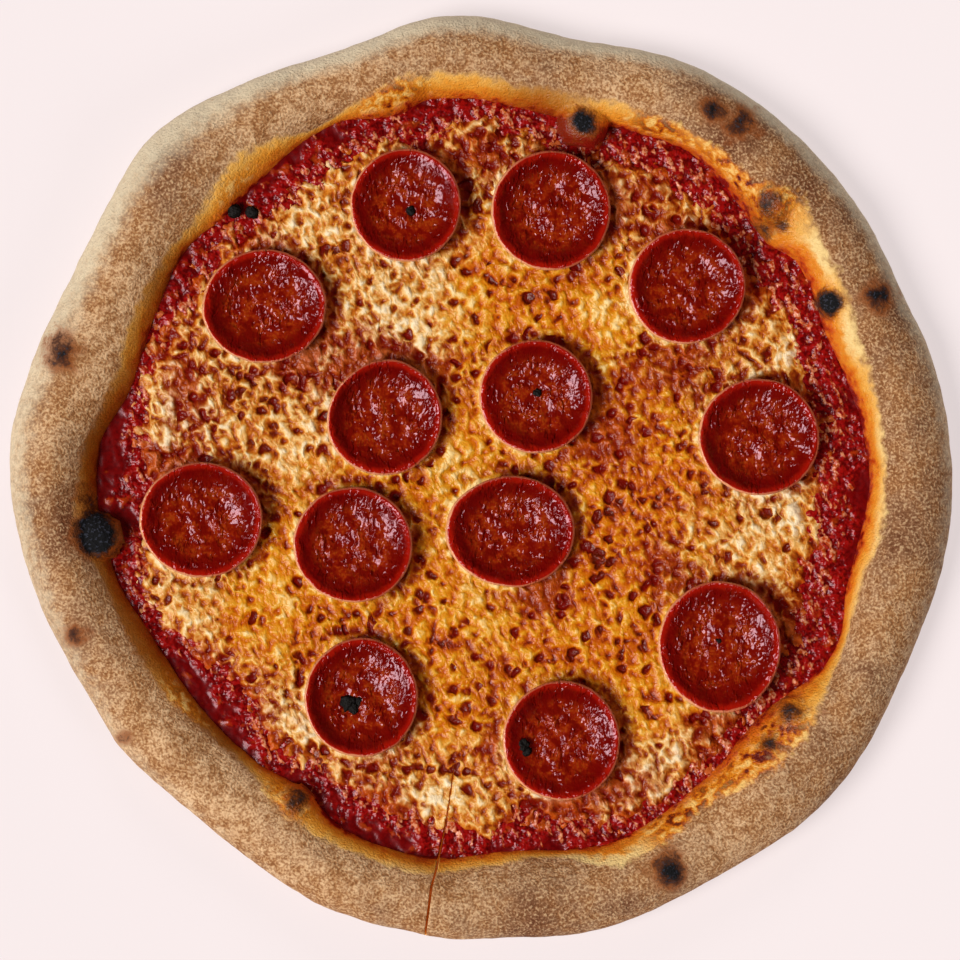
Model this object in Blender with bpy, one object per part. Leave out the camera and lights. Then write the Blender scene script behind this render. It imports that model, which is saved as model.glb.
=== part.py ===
"""A whole pepperoni pizza with a puffed rim, built layer by layer.

Metres, +Z up. The origin lies on the flat underside, below the middle of the pizza.
Angles are in degrees, counter-clockwise from +X, seen from above.
"""
from math import atan2, cos, degrees, hypot, pi, radians, sin, sqrt

import bmesh
import bpy
from mathutils import Vector, noise

# Driving sizes
PIZZA_RADIUS = 0.150
RIM_HEIGHT = 0.018
FLOOR_HEIGHT = 0.0045
LAYER_GAP = 0.0003
SAUCE_DEPTH = 0.0011
CHEESE_DEPTH = 0.0026
SLICE_THICKNESS = 0.0017
SLICE_CURL = 0.0042
SLICE_LIFT = 0.0002

# Heights that follow from them
SAUCE_BOTTOM = FLOOR_HEIGHT + LAYER_GAP
SAUCE_TOP = SAUCE_BOTTOM + SAUCE_DEPTH
CHEESE_BOTTOM = SAUCE_TOP + LAYER_GAP
CHEESE_TOP = CHEESE_BOTTOM + CHEESE_DEPTH
SLICE_BOTTOM = CHEESE_TOP + SLICE_LIFT

# Outlines: (angle, distance as a share of PIZZA_RADIUS)
OUTER_EDGE = [
    (0, 1.004), (15, 0.994), (24, 0.980), (35, 0.989), (62, 0.988), (78, 0.955), (94, 0.986),
    (108, 0.957), (120, 0.977), (134, 1.007), (146, 0.977), (155, 0.969), (166, 0.985), (177, 1.002),
    (195, 0.975), (208, 0.953), (217, 0.956), (228, 0.939), (240, 0.949), (250, 0.970), (261, 0.976),
    (266, 0.983), (273, 0.979), (284, 0.993), (300, 0.986), (318, 1.007), (337, 0.990), (350, 1.002),
]
RIM_FOOT = [
    (0, 0.826), (15, 0.806), (22, 0.794), (34, 0.813), (40, 0.785), (57, 0.821), (67, 0.800),
    (78, 0.782), (97, 0.811), (103, 0.789), (113, 0.812), (133, 0.774), (142, 0.789), (152, 0.772),
    (165, 0.764), (176, 0.811), (195, 0.800), (207, 0.770), (232, 0.766), (240, 0.758), (249, 0.800),
    (264, 0.811), (275, 0.794), (289, 0.821), (305, 0.800), (320, 0.779), (333, 0.836), (345, 0.811),
]
CHEESE_EDGE = [
    (0, 0.736), (6, 0.757), (20, 0.747), (30, 0.764), (40, 0.745), (60, 0.778), (74, 0.736),
    (90, 0.789), (98, 0.747), (106, 0.772), (124, 0.736), (136, 0.764), (145, 0.746), (163, 0.768),
    (172, 0.749), (186, 0.725), (196, 0.778), (206, 0.757), (220, 0.693), (234, 0.747), (241, 0.725),
    (258, 0.760), (270, 0.778), (276, 0.747), (292, 0.800), (306, 0.796), (320, 0.768), (330, 0.778),
    (345, 0.747),
]

# The rim's cross-section: shares of the way from its foot (1) to the outer edge (2)
CREST = 1.5
GROUND_END = 1.78
WIDEST_HEIGHT = 0.38 * RIM_HEIGHT
PUFF_GAIN = 2.5
MEAN_EDGE = 0.980
RIM_LUMP = 0.0012
LUMP_SPACING = 0.022

# Blisters, as balls let into the rim:
# (angle, distance as a share of PIZZA_RADIUS, radius, half depth, height of the middle)
BLISTERS = [
    (188.8, 0.820, 0.0077, 0.0060, 0.0095),
    (73.8, 0.787, 0.0082, 0.0062, 0.0092),
    (26.5, 0.851, 0.0070, 0.0070, 0.0096),
    (24.4, 0.909, 0.0090, 0.0090, 0.0097),
    (43.2, 0.866, 0.0090, 0.0090, 0.0106),
    (322.5, 0.855, 0.0090, 0.0080, 0.0090),
    (240.2, 0.812, 0.0085, 0.0074, 0.0079),
    (295.7, 0.911, 0.0090, 0.0090, 0.0105),
    (163.2, 0.908, 0.0090, 0.0090, 0.0094),
    (136.3, 0.917, 0.0100, 0.0093, 0.0098),
]

# The slit through rim and toppings: (x, y, half width), from its tip outwards
SLIT = [
    (-0.0083, -0.0928, 0.00015),
    (-0.0109, -0.1104, 0.00030),
    (-0.0138, -0.1242, 0.00060),
    (-0.0155, -0.1302, 0.00090),
    (-0.0173, -0.1453, 0.00075),
    (-0.0177, -0.1520, 0.00075),
]

# Pepperoni: (x, y, width, depth, angle of its odd side, how far that side stands out)
SLICES = [
    (-0.0237, 0.0867, 0.0352, 0.0358, 60, 0.02),
    (0.0227, 0.0851, 0.0378, 0.0381, 200, 0.02),
    (0.0659, 0.0608, 0.0374, 0.0371, 300, -0.03),
    (-0.0685, 0.0547, 0.0394, 0.0362, 210, 0.02),
    (-0.0307, 0.0195, 0.0374, 0.0374, 140, -0.08),
    (0.0179, 0.0259, 0.0365, 0.0362, 20, -0.02),
    (0.0886, 0.0131, 0.0384, 0.0371, 330, 0.02),
    (-0.0885, -0.0133, 0.0387, 0.0368, 180, 0.03),
    (-0.0405, -0.0214, 0.0381, 0.0371, 250, -0.02),
    (0.0102, -0.0170, 0.0400, 0.0355, 180, 0.06),
    (0.0762, -0.0534, 0.0390, 0.0413, 285, 0.04),
    (-0.0378, -0.0701, 0.0362, 0.0374, 80, 0.03),
    (0.0259, -0.0838, 0.0374, 0.0387, 260, -0.03),
]
SLICE_RINGS = (0.0, 0.45, 0.74, 0.90, 1.0)
FLAT_SHARE = 0.40
CURL_POWER = 1.8
CURL_UNEVENNESS = 0.22
CURL_TURN = 2.4
CURL_TURN_TWICE = 1.7
PRESSED_SHARE = 0.86

# Steps round each turned shape
CRUST_STEPS = 120
LAYER_STEPS = 84
SLICE_STEPS = 24
BLISTER_STEPS = 14

# The layers' edges and lumps
SAUCE_SHOULDER = 0.985
SAUCE_RINGS = (0.93, 0.5)
CHEESE_LIP_SHARE = 0.99
CHEESE_LIP_HEIGHT = 0.35
CHEESE_RINGS = (0.96, 0.88, 0.79, 0.70, 0.61, 0.52, 0.43, 0.34, 0.25, 0.15)
CHEESE_LUMP = 0.0006
SAUCE_LUMP = 0.0001
MERGE = 0.00001
SMOOTH_ANGLE = radians(40)


def edge_distance(outline, angle):
    """How far a closed outline lies from the middle at an angle, by smooth curves between its points."""
    angle = angle % 360
    count = len(outline)
    after = next((index for index, point in enumerate(outline) if point[0] > angle), count)
    knots = []
    for offset in (-2, -1, 0, 1):
        turns, index = divmod(after + offset, count)
        knots.append((outline[index][0] + 360 * turns, outline[index][1]))
    (a0, r0), (a1, r1), (a2, r2), (a3, r3) = knots
    span = a2 - a1
    leave = (r2 - r0) / (a2 - a0) * span
    arrive = (r3 - r1) / (a3 - a1) * span
    t = (angle - a1) / span
    share = ((2 * t - 3) * t * t + 1) * r1 + ((t - 2) * t + 1) * t * leave
    share += (3 - 2 * t) * t * t * r2 + (t - 1) * t * t * arrive
    return share * PIZZA_RADIUS


def upright_angle(vert):
    """The angle of a vertex round the pizza's upright axis."""
    return degrees(atan2(vert.co.y, vert.co.x))


def spot(angle, distance):
    """The place at an angle and a distance from the middle."""
    return distance * cos(radians(angle)), distance * sin(radians(angle))


def lump(x, y, size, layer=0.0):
    """A soft hump or dip, up to about the size given, that is another one for each layer."""
    return size * noise.noise(Vector((x, y, layer)) / LUMP_SPACING)


def clear_of_blisters(angle, distance):
    """The distance from the middle, drawn in where a blister stands in the way."""
    for blister_angle, share, radius, _, _ in BLISTERS:
        turn = radians(angle - blister_angle)
        reach = radius + LAYER_GAP
        aside = share * PIZZA_RADIUS * sin(turn)
        if cos(turn) > 0 and abs(aside) < reach:
            near = share * PIZZA_RADIUS * cos(turn) - sqrt(reach**2 - aside**2)
            distance = min(distance, near)
    return distance


def arc(start, end, level_first, count, fullness=1.0):
    """Points after start on a quarter turn to end; less fullness draws it towards a straight line."""
    points = []
    for step in range(1, count + 1):
        straight = step / count
        turn = straight * pi / 2
        across, up = (sin(turn), 1 - cos(turn)) if level_first else (1 - cos(turn), sin(turn))
        across = straight + (across - straight) * fullness
        up = straight + (up - straight) * fullness
        points.append((start[0] + (end[0] - start[0]) * across, start[1] + (end[1] - start[1]) * up))
    return points


def turned(profile, steps):
    """A closed body spun from (distance, height) points that start and end on the axis."""
    body = bmesh.new()
    points = [body.verts.new((distance, 0, height)) for distance, height in profile]
    edges = [body.edges.new(pair) for pair in zip(points, points[1:])]
    bmesh.ops.spin(
        body, geom=points + edges, cent=(0, 0, 0), axis=(0, 0, 1), angle=2 * pi, steps=steps, use_merge=True
    )
    bmesh.ops.remove_doubles(body, verts=body.verts, dist=MERGE)
    bmesh.ops.recalc_face_normals(body, faces=body.faces)
    return body


def finish(body, name, colour, roughness):
    """Make the body an object with its own material and soft shading."""
    bmesh.ops.triangulate(body, faces=body.faces)
    mesh = bpy.data.meshes.new(name)
    body.to_mesh(mesh)
    body.free()
    mesh.shade_smooth()
    mesh.set_sharp_from_angle(angle=SMOOTH_ANGLE)
    material = bpy.data.materials.new(name)
    material.use_nodes = True
    shader = material.node_tree.nodes["Principled BSDF"]
    shader.inputs["Base Color"].default_value = (*colour, 1)
    shader.inputs["Roughness"].default_value = roughness
    shader.inputs["Metallic"].default_value = 0
    mesh.materials.append(material)
    piece = bpy.data.objects.new(name, mesh)
    bpy.context.collection.objects.link(piece)
    return piece


def cut_with(piece, cutter):
    """Leave a live cut by the cutter on the piece."""
    cut = piece.modifiers.new("slit", "BOOLEAN")
    cut.operation = "DIFFERENCE"
    cut.object = cutter


def make_slit_cutter():
    """A thin upright wedge along the slit, taller than the pizza."""
    body = bmesh.new()
    middles = [Vector((x, y, -RIM_HEIGHT)) for x, y, _ in SLIT]
    left = []
    right = []
    for index, middle in enumerate(middles):
        before = middles[max(index - 1, 0)]
        after = middles[min(index + 1, len(middles) - 1)]
        aside = (after - before).normalized().cross(Vector((0, 0, 1))) * SLIT[index][2]
        left.append(body.verts.new(middle - aside))
        right.append(body.verts.new(middle + aside))
    face = body.faces.new(left + right[::-1])
    wall = bmesh.ops.extrude_face_region(body, geom=[face])["geom"]
    top = [part for part in wall if isinstance(part, bmesh.types.BMVert)]
    bmesh.ops.translate(body, verts=top, vec=(0, 0, 3 * RIM_HEIGHT))
    bmesh.ops.recalc_face_normals(body, faces=body.faces)
    mesh = bpy.data.meshes.new("slit_cutter")
    body.to_mesh(mesh)
    body.free()
    cutter = bpy.data.objects.new("slit_cutter", mesh)
    cutter.hide_render = True
    cutter.display_type = "WIRE"
    bpy.context.collection.objects.link(cutter)
    return cutter


def crust_profile():
    """Half the crust's cross-section: along the underside, over the rim and back along the floor."""
    ground = [(0, 0), (0.5, 0), (1, 0), (1.45, 0), (GROUND_END, 0)]
    widest = (2, WIDEST_HEIGHT)
    crest = (CREST, RIM_HEIGHT)
    foot = (1, FLOOR_HEIGHT)
    curl = arc(ground[-1], widest, True, 3)
    outside = arc(widest, crest, False, 5)
    inside = arc(crest, foot, True, 5, fullness=0.75)
    return ground + curl + outside + inside + [(0.5, FLOOR_HEIGHT), (0, FLOOR_HEIGHT)]


def rim_height(angle):
    """The crest's height: the rim is puffed highest where it bulges out most."""
    edge = edge_distance(OUTER_EDGE, angle) / PIZZA_RADIUS
    return RIM_HEIGHT * (1 + PUFF_GAIN * (edge - MEAN_EDGE))


def make_blisters(collection):
    """Flattened balls along the rim, each in the collection that is fused to the crust."""
    for angle, share, radius, half_depth, height in BLISTERS:
        x, y = spot(angle, share * PIZZA_RADIUS)
        body = bmesh.new()
        rings = BLISTER_STEPS // 2 + 1
        bmesh.ops.create_uvsphere(body, u_segments=BLISTER_STEPS, v_segments=rings, radius=radius)
        bmesh.ops.scale(body, verts=body.verts, vec=(1, 1, half_depth / radius))
        bmesh.ops.translate(body, verts=body.verts, vec=(x, y, height))
        mesh = bpy.data.meshes.new("blister")
        body.to_mesh(mesh)
        body.free()
        collection.objects.link(bpy.data.objects.new("blister", mesh))


def fuse(piece, collection):
    """Join the collection's objects to the piece in one solid and remove them."""
    union = piece.modifiers.new("blisters", "BOOLEAN")
    union.operation = "UNION"
    union.operand_type = "COLLECTION"
    union.collection = collection
    graph = bpy.context.evaluated_depsgraph_get()
    fused = bpy.data.meshes.new_from_object(piece.evaluated_get(graph))
    piece.modifiers.clear()
    piece.data = fused
    for guest in list(collection.objects):
        bpy.data.objects.remove(guest)
    bpy.data.collections.remove(collection)


def make_crust(cutter):
    """The dough: a thin floor and a puffed, blistered rim, split by the slit."""
    body = turned(crust_profile(), CRUST_STEPS)
    for vert in body.verts:
        share = hypot(vert.co.x, vert.co.y)
        angle = upright_angle(vert)
        foot = edge_distance(RIM_FOOT, angle)
        outer = edge_distance(OUTER_EDGE, angle)
        distance = foot * min(share, 1) + (outer - foot) * max(share - 1, 0)
        rise = max(vert.co.z - FLOOR_HEIGHT, 0) / (RIM_HEIGHT - FLOOR_HEIGHT)
        x, y = spot(angle, distance)
        puff = rim_height(angle) - RIM_HEIGHT + lump(x, y, RIM_LUMP)
        vert.co = (x, y, vert.co.z + rise * puff)
    crust = finish(body, "crust", (0.578, 0.376, 0.171), 0.85)
    blisters = bpy.data.collections.new("blisters")
    bpy.context.scene.collection.children.link(blisters)
    make_blisters(blisters)
    fuse(crust, blisters)
    cut_with(crust, cutter)


def make_sauce(cutter):
    """The layer of tomato sauce, from the middle out to the foot of the rim."""
    profile = [(0, SAUCE_BOTTOM), (1, SAUCE_BOTTOM), (1, SAUCE_TOP - SAUCE_DEPTH / 3)]
    profile += [(share, SAUCE_TOP) for share in (SAUCE_SHOULDER, *SAUCE_RINGS)] + [(0, SAUCE_TOP)]
    body = turned(profile, LAYER_STEPS)
    for vert in body.verts:
        share = hypot(vert.co.x, vert.co.y)
        angle = upright_angle(vert)
        x, y = spot(angle, share * clear_of_blisters(angle, edge_distance(RIM_FOOT, angle) - LAYER_GAP))
        z = vert.co.z
        if z > SAUCE_BOTTOM + MERGE:
            z += lump(x, y, SAUCE_LUMP)
        vert.co = (x, y, z)
    sauce = finish(body, "sauce", (0.376, 0.012, 0.007), 0.30)
    cut_with(sauce, cutter)


def under_a_slice(x, y):
    """Whether a point lies below the flat middle of a slice or the start of its curl."""
    for slice_x, slice_y, width, depth, _, _ in SLICES:
        if hypot((x - slice_x) / width, (y - slice_y) / depth) < PRESSED_SHARE / 2:
            return True
    return False


def make_cheese(cutter):
    """The melted cheese: a lumpy sheet with a rounded edge, pressed down below each slice."""
    lip = CHEESE_BOTTOM + CHEESE_DEPTH * CHEESE_LIP_HEIGHT
    profile = [(0, CHEESE_BOTTOM), (CHEESE_LIP_SHARE, CHEESE_BOTTOM), (1, lip)]
    profile += [(share, CHEESE_TOP) for share in CHEESE_RINGS] + [(0, CHEESE_TOP)]
    pressed = SLICE_BOTTOM - LAYER_GAP - MERGE
    body = turned(profile, LAYER_STEPS)
    for vert in body.verts:
        share = hypot(vert.co.x, vert.co.y)
        angle = upright_angle(vert)
        x, y = spot(angle, share * clear_of_blisters(angle, edge_distance(CHEESE_EDGE, angle)))
        z = vert.co.z
        if z > lip + MERGE:
            z += lump(x, y, CHEESE_LUMP, layer=LUMP_SPACING)
            if under_a_slice(x, y):
                z = min(z, pressed)
        vert.co = (x, y, z)
    cheese = finish(body, "cheese", (0.815, 0.456, 0.130), 0.40)
    cut_with(cheese, cutter)


def curl_rise(share):
    """The height of a slice's underside over its middle, as a share of SLICE_CURL."""
    return (max(share - FLAT_SHARE, 0) / (1 - FLAT_SHARE)) ** CURL_POWER


def slice_profile(radius):
    """Half the cross-section of a curled slice: its underside outwards, then its upper side back in."""
    under = []
    over = []
    steepest = CURL_POWER * SLICE_CURL / (radius * (1 - FLAT_SHARE))
    for share in SLICE_RINGS:
        height = SLICE_CURL * curl_rise(share)
        steepness = steepest * curl_rise(share) ** (1 - 1 / CURL_POWER)
        thickness = SLICE_THICKNESS / hypot(1, steepness)
        under.append((share * radius, height))
        over.append((share * radius - thickness * steepness, height + thickness))
    return under + over[::-1]


def make_slice(number, x, y, width, depth, odd_angle, odd_share):
    """One curled slice of pepperoni, a little oval, with one odd side and an uneven rim."""
    radius = (width + depth) / 4
    body = turned(slice_profile(radius), SLICE_STEPS)
    for vert in body.verts:
        angle = atan2(vert.co.y, vert.co.x)
        share = min(hypot(vert.co.x, vert.co.y) / radius, 1)
        odd = odd_share * max(cos(angle - radians(odd_angle)), 0) ** 3 * share
        unevenness = sin(angle + CURL_TURN * number) + 0.6 * sin(2 * angle + CURL_TURN_TWICE * number)
        height = vert.co.z * (1 + CURL_UNEVENNESS * unevenness * curl_rise(share))
        across = vert.co.x * width / (2 * radius) * (1 + odd)
        along = vert.co.y * depth / (2 * radius) * (1 + odd)
        vert.co = (x + across, y + along, SLICE_BOTTOM + height)
    finish(body, f"pepperoni_{number:02d}", (0.242, 0.012, 0.004), 0.30)


def main():
    for old in list(bpy.data.objects):
        bpy.data.objects.remove(old)
    cutter = make_slit_cutter()
    make_crust(cutter)
    make_sauce(cutter)
    make_cheese(cutter)
    for number, values in enumerate(SLICES, start=1):
        make_slice(number, *values)


main()
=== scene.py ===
"""The looks of a whole pepperoni pizza: baked crust, tomato sauce, browned cheese and curled slices.

Metres, +Z up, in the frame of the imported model, whose origin lies on the flat underside.
Angles are in degrees, counter-clockwise from +X, seen from above.
"""

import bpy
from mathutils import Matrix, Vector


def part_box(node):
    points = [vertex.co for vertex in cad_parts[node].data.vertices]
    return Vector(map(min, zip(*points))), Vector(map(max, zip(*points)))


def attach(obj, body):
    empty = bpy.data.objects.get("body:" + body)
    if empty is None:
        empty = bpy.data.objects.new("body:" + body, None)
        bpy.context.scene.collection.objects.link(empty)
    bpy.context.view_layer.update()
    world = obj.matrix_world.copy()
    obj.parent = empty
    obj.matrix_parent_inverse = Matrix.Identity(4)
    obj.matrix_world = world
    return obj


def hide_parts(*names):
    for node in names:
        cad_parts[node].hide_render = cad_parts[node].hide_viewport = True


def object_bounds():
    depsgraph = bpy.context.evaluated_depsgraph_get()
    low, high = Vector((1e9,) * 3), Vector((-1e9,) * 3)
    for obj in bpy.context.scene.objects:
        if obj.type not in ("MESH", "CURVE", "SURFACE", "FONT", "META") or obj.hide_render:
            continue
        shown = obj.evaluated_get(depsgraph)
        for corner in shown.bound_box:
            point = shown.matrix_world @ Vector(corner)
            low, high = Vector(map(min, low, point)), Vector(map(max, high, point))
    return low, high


bl_info = {
    "name": "Pepperoni Pizza",
    "version": (1, 0, 0),
    "blender": (4, 5, 0),
    "location": "3D View > Sidebar > Pizza",
    "description": "Dresses the solids of a pizza with crust, sauce, cheese and pepperoni",
    "category": "Add Mesh",
}

from functools import lru_cache
from math import atan2, cos, degrees, exp, hypot, pi, radians, sin, sqrt

import bmesh
import bpy
from bpy.props import FloatProperty, FloatVectorProperty, PointerProperty
from mathutils import Vector, noise

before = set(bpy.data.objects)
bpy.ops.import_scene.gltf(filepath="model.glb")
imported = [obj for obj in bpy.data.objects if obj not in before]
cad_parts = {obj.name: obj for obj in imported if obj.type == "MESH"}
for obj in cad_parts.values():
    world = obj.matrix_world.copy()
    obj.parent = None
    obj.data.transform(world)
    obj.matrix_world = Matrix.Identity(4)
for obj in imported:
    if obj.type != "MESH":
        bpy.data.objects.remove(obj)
CAD_BOX = [list(corner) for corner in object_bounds()]

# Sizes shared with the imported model
PIZZA_RADIUS = 0.150
RIM_HEIGHT = 0.018
LAYER_GAP = 0.0003
SLICE_THICKNESS = 0.0017
SLICE_CURL = 0.0042
SLICE_COUNT = 13
SAUCE_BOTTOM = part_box("sauce")[0].z
FLOOR_HEIGHT = SAUCE_BOTTOM - LAYER_GAP
SAUCE_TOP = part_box("cheese")[0].z - LAYER_GAP
SLICE_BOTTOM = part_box("pepperoni_01")[0].z

# Outlines: (angle, distance as a share of PIZZA_RADIUS)
OUTER_EDGE = (
    (0, 1.004), (15, 0.994), (24, 0.980), (35, 0.989), (62, 0.988), (78, 0.955), (94, 0.986),
    (108, 0.957), (120, 0.977), (134, 1.007), (146, 0.977), (155, 0.969), (166, 0.985), (177, 1.002),
    (195, 0.975), (208, 0.953), (217, 0.956), (228, 0.939), (240, 0.949), (250, 0.970), (261, 0.976),
    (266, 0.983), (273, 0.979), (284, 0.993), (300, 0.986), (318, 1.007), (337, 0.990), (350, 1.002),
)
RIM_FOOT = (
    (0, 0.826), (15, 0.806), (22, 0.794), (34, 0.813), (40, 0.785), (57, 0.821), (67, 0.800),
    (78, 0.782), (97, 0.811), (103, 0.789), (113, 0.812), (133, 0.774), (142, 0.789), (152, 0.772),
    (165, 0.764), (176, 0.811), (195, 0.800), (207, 0.770), (232, 0.766), (240, 0.758), (249, 0.800),
    (264, 0.811), (275, 0.794), (289, 0.821), (305, 0.800), (320, 0.779), (333, 0.836), (345, 0.811),
)
CHEESE_EDGE = (
    (0, 0.736), (6, 0.757), (20, 0.747), (30, 0.764), (40, 0.745), (60, 0.778), (74, 0.736),
    (90, 0.789), (98, 0.747), (106, 0.772), (124, 0.736), (136, 0.764), (145, 0.746), (163, 0.768),
    (172, 0.749), (186, 0.725), (196, 0.778), (206, 0.757), (220, 0.693), (234, 0.747), (241, 0.725),
    (258, 0.760), (270, 0.778), (276, 0.747), (292, 0.800), (306, 0.796), (320, 0.768), (330, 0.778),
    (345, 0.747),
)
STAIN_EDGE = (
    (0, 0.864), (15, 0.860), (30, 0.875), (42, 0.900), (48, 0.864), (60, 0.858), (75, 0.843),
    (84, 0.838), (93, 0.864), (103, 0.862), (115, 0.823), (125, 0.853), (135, 0.828), (150, 0.819),
    (165, 0.811), (175, 0.843), (185, 0.864), (195, 0.832), (215, 0.815), (225, 0.794), (233, 0.796),
    (239, 0.828), (255, 0.843), (262, 0.849), (275, 0.821), (282, 0.825), (290, 0.875), (305, 0.853),
    (318, 0.879), (330, 0.860), (345, 0.843), (352, 0.860),
)

# The rim's cross-section: shares of the way from its foot (1) to the outer edge (2)
CREST = 1.5
GROUND_END = 1.78
WIDEST_HEIGHT = 0.38 * RIM_HEIGHT
PUFF_GAIN = 2.5
MEAN_EDGE = 0.980
RIM_LUMP = 0.0012
LUMP_SPACING = 0.022

# Blisters: (angle, distance as a share of PIZZA_RADIUS, radius, half depth, height of the middle)
BLISTERS = (
    (188.8, 0.820, 0.0077, 0.0060, 0.0095),
    (73.8, 0.787, 0.0082, 0.0062, 0.0092),
    (26.5, 0.851, 0.0070, 0.0070, 0.0096),
    (24.4, 0.909, 0.0090, 0.0090, 0.0097),
    (43.2, 0.866, 0.0090, 0.0090, 0.0106),
    (322.5, 0.855, 0.0090, 0.0080, 0.0090),
    (240.2, 0.812, 0.0085, 0.0074, 0.0079),
    (295.7, 0.911, 0.0090, 0.0090, 0.0105),
    (163.2, 0.908, 0.0090, 0.0090, 0.0094),
    (136.3, 0.917, 0.0100, 0.0093, 0.0098),
)
BLISTER_BLEND = 0.0010

# No blister reaches further in than this share of the way to the rim's foot
BLISTER_START = 0.9

# Charred places on the rim: (x, y, radius, how black, with 1 for burnt through)
CHARS = (
    (-0.1218, -0.0186, 0.0070, 1.15),
    (0.0330, 0.1130, 0.0046, 1.05),
    (0.1110, 0.0554, 0.0042, 1.10),
    (0.1267, 0.0576, 0.0058, 0.64),
    (0.0922, 0.0880, 0.0056, 0.52),
    (0.0890, 0.0785, 0.0040, 0.52),
    (0.0960, 0.0800, 0.0030, 0.50),
    (0.0982, -0.0749, 0.0060, 0.52),
    (-0.0586, -0.1021, 0.0054, 0.56),
    (0.0598, -0.1245, 0.0064, 0.74),
    (-0.1328, 0.0400, 0.0075, 0.60),
    (-0.0736, 0.0846, 0.0030, 0.80),
    (0.0736, 0.1168, 0.0046, 0.60),
    (0.0832, 0.1123, 0.0058, 0.60),
    (-0.1286, -0.0493, 0.0050, 0.45),
    (-0.1139, -0.0832, 0.0036, 0.40),
    (0.0922, -0.0845, 0.0032, 0.60),
    (-0.1240, -0.0070, 0.0070, 0.42),
)

# How pale the outer edge is, by how much that changes round it, and on which side it is palest
MEAN_PALENESS = 0.65
PALENESS_CHANGE = 0.45
FLOURY_SIDE = 105

# Where the pale edge starts in the cross-section, and how much sooner on the side where it is broadest
PALE_START = 1.72
PALE_BROADER = 0.25
BROAD_SIDE = 150

# Heights between which the baked underside turns into the outer skin
SKIN_HEIGHTS = (0.0008, 0.0040)

# A soft round patch has faded away at this square of the distance in its radii
PATCH_END = 6

# Darker toasted stretches of the rim, a paler one, and painted shade along the bottom edge: (x, y, radius,
# strength)
TOASTED_AND_SHADED = (
    (-0.130, -0.008, 0.024, 0.36),
    (-0.126, -0.014, 0.015, 0.50),
    (-0.088, -0.110, 0.032, -0.20),
    (-0.101, 0.096, 0.022, 0.55),
    (0.128, 0.062, 0.034, 0.56),
    (0.082, 0.114, 0.026, 0.66),
    (0.104, 0.092, 0.014, 0.40),
    (0.138, -0.010, 0.050, 0.54),
    (0.110, -0.090, 0.030, 0.44),
    (-0.060, -0.112, 0.020, 0.30),
    (-0.124, -0.054, 0.026, 0.42),
    (0.020, 0.128, 0.020, 0.40),
    (-0.018, 0.136, 0.024, 0.30),
    (0.052, -0.132, 0.026, 0.40),
    (0.014, -0.136, 0.014, 0.25),
    # These last two darken the bottom edge where the rim turns down, away from the light: painted shade.
    (-0.024, -0.146, 0.020, 0.45),
    (0.020, -0.148, 0.020, 0.45),
)

# Where the oily stretch inside the rim is darker brown: browned oil, and on the left, where the inner slope
# faces away from the light, painted shade: (x, y, radius, strength)
BROWNED_AND_SHADED_SLOPES = (
    (-0.118, 0.012, 0.026, 0.9),
    (-0.112, -0.044, 0.026, 0.9),
    (-0.086, -0.084, 0.022, 0.7),
    (-0.098, 0.062, 0.024, 0.6),
    (-0.020, -0.122, 0.012, 0.4),
    (0.020, 0.119, 0.020, 0.6),
    (0.100, -0.080, 0.020, 0.3),
)

# Where it has stayed pale and creamy: (x, y, radius, strength)
CREAMY_SLOPES = (
    (0.106, 0.070, 0.010, 0.9),
    (0.118, 0.045, 0.011, 0.8),
    (0.130, 0.012, 0.012, 0.6),
    (0.130, -0.014, 0.012, 0.6),
    (0.124, -0.040, 0.012, 0.5),
    (0.052, -0.116, 0.014, 0.4),
    (0.036, -0.119, 0.014, 0.8),
    (-0.024, -0.124, 0.012, 0.4),
    (0.066, 0.110, 0.010, 0.5),
)

# Stretches where oil and melted cheese have run up the inside of the rim: (x, y, radius, strength)
CHEESY_SLOPES = (
    (-0.026, 0.114, 0.016, 1.0),
    (0.086, 0.092, 0.020, 1.0),
    (0.093, -0.087, 0.018, 1.0),
    (0.062, -0.106, 0.018, 0.8),
    (0.056, 0.111, 0.014, 0.7),
    (-0.092, -0.070, 0.016, 0.5),
    (-0.074, 0.088, 0.014, 0.6),
    (-0.060, -0.102, 0.014, 0.7),
)

# Patches on the upper side of the crust alone, by the attribute that holds them
UPPER_PATCHES = {
    "char": CHARS,
    "cheesy": CHEESY_SLOPES,
    "browned": BROWNED_AND_SHADED_SLOPES,
    "creamy": CREAMY_SLOPES,
}

# The slit through rim and toppings: (x, y, half width, height of its floor), from its tip outwards
SLIT = (
    (-0.0083, -0.0928, 0.00010, 0.0010),
    (-0.0109, -0.1104, 0.00018, 0.0010),
    (-0.0138, -0.1242, 0.00030, 0.0010),
    (-0.0155, -0.1302, 0.00040, 0.0010),
    (-0.0168, -0.1405, 0.00036, 0.0012),
    (-0.0173, -0.1440, 0.00034, 0.0076),
    (-0.0177, -0.1520, 0.00030, 0.0076),
)

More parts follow.
